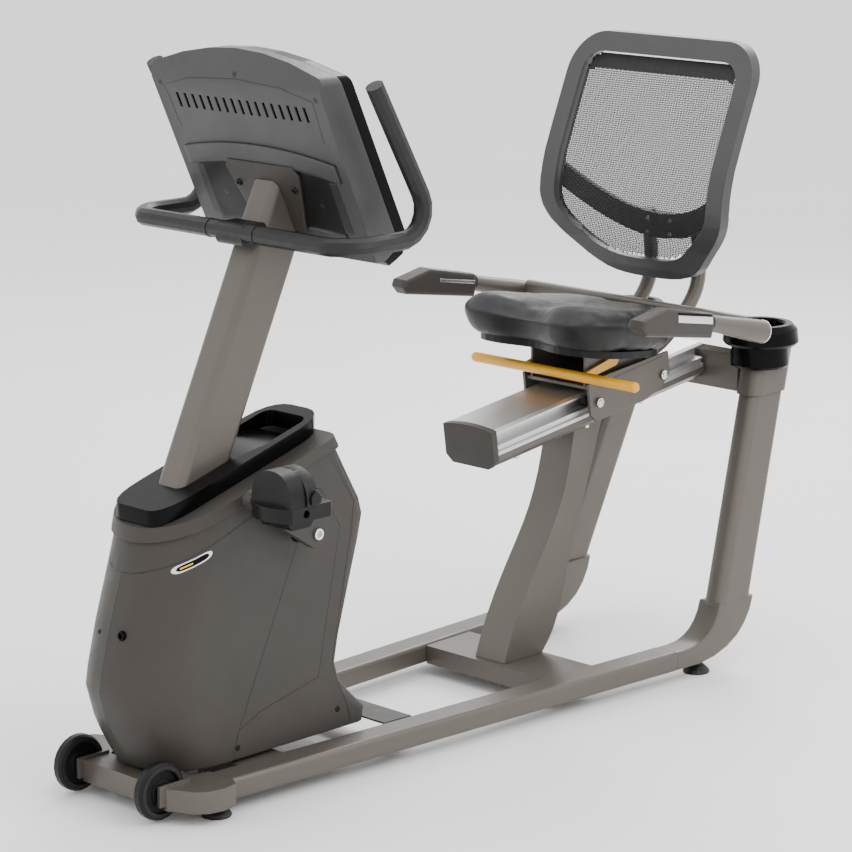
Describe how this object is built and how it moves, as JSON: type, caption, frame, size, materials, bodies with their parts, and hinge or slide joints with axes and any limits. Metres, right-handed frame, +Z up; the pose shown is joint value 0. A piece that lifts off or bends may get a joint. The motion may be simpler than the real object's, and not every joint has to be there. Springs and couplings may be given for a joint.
{
  "type": "recumbent exercise bike",
  "caption": "Recumbent exercise bike with a floor frame, drive housing, cranks, mast console with handlebar, and a sliding seat with a mesh back on an inclined rail.",
  "frame": {"origin": "middle of the footprint, on the floor", "axes": "+X from the drive housing towards the seat, along the length of the bike; -Y is the rider's left; +Z up"},
  "size_m": [1.7362, 0.686, 1.3385],
  "materials": {
    "frame_paint": "satin bronze-grey powder coat",
    "housing_plastic": "satin bronze-grey moulded plastic",
    "black_plastic": "glossy black",
    "console_plastic": "dark grey fine texture",
    "aluminium": "clear anodised, brushed along its length",
    "steel": "bare machined",
    "rubber": "matte black",
    "lever_coat": "satin amber yellow",
    "vinyl": "fine-grained black vinyl",
    "mesh_fabric": "open black mesh",
    "screen_glass": "black glass"
  },
  "bodies": {
    "frame": {"base_rail_left": "frame_paint", "base_rail_right": "frame_paint", "front_beam": "frame_paint", "cross_member": "frame_paint", "base_cover_plate": "housing_plastic", "rear_leg_left": "frame_paint", "rear_leg_right": "frame_paint", "rear_yoke": "frame_paint", "cup_holder_left": "black_plastic", "cup_holder_right": "black_plastic", "seat_rail": "aluminium", "rail_beam": "frame_paint", "rail_end_cap": "housing_plastic", "seat_post": "frame_paint", "mast": "frame_paint", "console_plate": "frame_paint", "console_shell": "console_plastic", "console_bezel": "black_plastic", "console_screen": "screen_glass", "handlebar": "rubber", "side_cover_left": "housing_plastic", "side_cover_right": "housing_plastic", "housing_body": "housing_plastic", "rear_cover": "housing_plastic", "top_rim": "housing_plastic", "accessory_tray": "black_plastic", "drive_frame": "frame_paint", "drive_belt": "rubber", "power_inlet": "black_plastic"},
    "crank": {"crank_axle": "steel", "crank_arm_left": "housing_plastic", "crank_arm_right": "housing_plastic"},
    "pedal_left": {"pedal_left": "black_plastic"},
    "pedal_right": {"pedal_right": "black_plastic"},
    "flywheel": {"flywheel": "steel"},
    "seat": {"seat_carriage": "frame_paint", "seat_pan": "black_plastic", "seat_cushion": "vinyl", "back_tubes": "frame_paint", "back_bracket": "steel", "lumbar_cradle": "black_plastic", "back_frame": "console_plastic", "back_mesh": "mesh_fabric", "grip_arm_left": "frame_paint", "grip_arm_right": "frame_paint", "hand_grip_left": "housing_plastic", "hand_grip_right": "housing_plastic"},
    "lever": {"seat_lever": "lever_coat"},
    "roller_front_left": {"front_roller_left": "rubber"},
    "roller_front_right": {"front_roller_right": "rubber"},
    "roller_rear_left": {"rear_roller_left": "rubber"},
    "roller_rear_right": {"rear_roller_right": "rubber"},
    "wheel_left": {"transport_wheel_left": "rubber"},
    "wheel_right": {"transport_wheel_right": "rubber"},
    "foot_front_left": {"front_foot_left": "rubber"},
    "foot_front_right": {"front_foot_right": "rubber"},
    "foot_rear_left": {"rear_foot_left": "rubber"},
    "foot_rear_right": {"rear_foot_right": "rubber"},
    "key_1": {"console_button_1": "rubber"},
    "key_2": {"console_button_2": "rubber"}
  },
  "joints": [
    {"name": "crank_spin", "type": "hinge", "parent": "frame", "child": "crank", "pos_m": [-0.47011, 0, 0.471], "axis": [0, 1, 0], "continuous": true},
    {"name": "flywheel_spin", "type": "hinge", "parent": "frame", "child": "flywheel", "pos_m": [-0.67211, -0.026, 0.235], "axis": [0, 1, 0], "continuous": true},
    {"name": "pedal_left_spin", "type": "hinge", "parent": "crank", "child": "pedal_left", "pos_m": [-0.61659, -0.236, 0.55728], "axis": [0, 1, 0], "continuous": true},
    {"name": "pedal_right_spin", "type": "hinge", "parent": "crank", "child": "pedal_right", "pos_m": [-0.32364, 0.236, 0.38472], "axis": [0, 1, 0], "continuous": true},
    {"name": "seat_slide", "type": "slide", "parent": "frame", "child": "seat", "axis": [0.9903, 0, 0.1386], "range_m": [-0.2, 0.1]},
    {"name": "seat_lever_lift", "type": "hinge", "parent": "seat", "child": "lever", "pos_m": [0.42889, 0, 0.648], "axis": [0, 1, 0], "range_deg": [0, 12], "stiffness_Nm_per_rad": 4},
    {"name": "roller_front_left_spin", "type": "hinge", "parent": "seat", "child": "roller_front_left", "pos_m": [0.37207, -0.055, 0.57223], "axis": [0, 1, 0], "range_deg": [-1100, 560]},
    {"name": "roller_front_right_spin", "type": "hinge", "parent": "seat", "child": "roller_front_right", "pos_m": [0.37207, 0.055, 0.57223], "axis": [0, 1, 0], "range_deg": [-1100, 560]},
    {"name": "roller_rear_left_spin", "type": "hinge", "parent": "seat", "child": "roller_rear_left", "pos_m": [0.56915, -0.055, 0.59982], "axis": [0, 1, 0], "range_deg": [-1100, 560]},
    {"name": "roller_rear_right_spin", "type": "hinge", "parent": "seat", "child": "roller_rear_right", "pos_m": [0.56915, 0.055, 0.59982], "axis": [0, 1, 0], "range_deg": [-1100, 560]},
    {"name": "wheel_left_spin", "type": "hinge", "parent": "frame", "child": "wheel_left", "pos_m": [-0.81511, -0.112, 0.057], "axis": [0, 1, 0], "continuous": true},
    {"name": "wheel_right_spin", "type": "hinge", "parent": "frame", "child": "wheel_right", "pos_m": [-0.81511, 0.112, 0.057], "axis": [0, 1, 0], "continuous": true},
    {"name": "foot_front_left_screw", "type": "slide", "parent": "frame", "child": "foot_front_left", "axis": [0, 0, 1], "range_m": [-0.012, 0]},
    {"name": "foot_front_right_screw", "type": "slide", "parent": "frame", "child": "foot_front_right", "axis": [0, 0, 1], "range_m": [-0.012, 0]},
    {"name": "foot_rear_left_screw", "type": "slide", "parent": "frame", "child": "foot_rear_left", "axis": [0, 0, 1], "range_m": [-0.012, 0]},
    {"name": "foot_rear_right_screw", "type": "slide", "parent": "frame", "child": "foot_rear_right", "axis": [0, 0, 1], "range_m": [-0.012, 0]},
    {"name": "key_1_press", "type": "slide", "parent": "frame", "child": "key_1", "axis": [-0.9022, 0, -0.4313], "range_m": [0, 0.0018], "stiffness_N_per_m": 400},
    {"name": "key_2_press", "type": "slide", "parent": "frame", "child": "key_2", "axis": [-0.9022, 0, -0.4313], "range_m": [0, 0.0018], "stiffness_N_per_m": 400}
  ],
  "couplings": [
    {"joint": "flywheel_spin", "follows": "crank_spin", "ratio": 4},
    {"joint": "roller_front_left_spin", "follows": "seat_slide", "rad_per_m": 90.909},
    {"joint": "roller_front_right_spin", "follows": "seat_slide", "rad_per_m": 90.909},
    {"joint": "roller_rear_left_spin", "follows": "seat_slide", "rad_per_m": 90.909},
    {"joint": "roller_rear_right_spin", "follows": "seat_slide", "rad_per_m": 90.909}
  ]
}
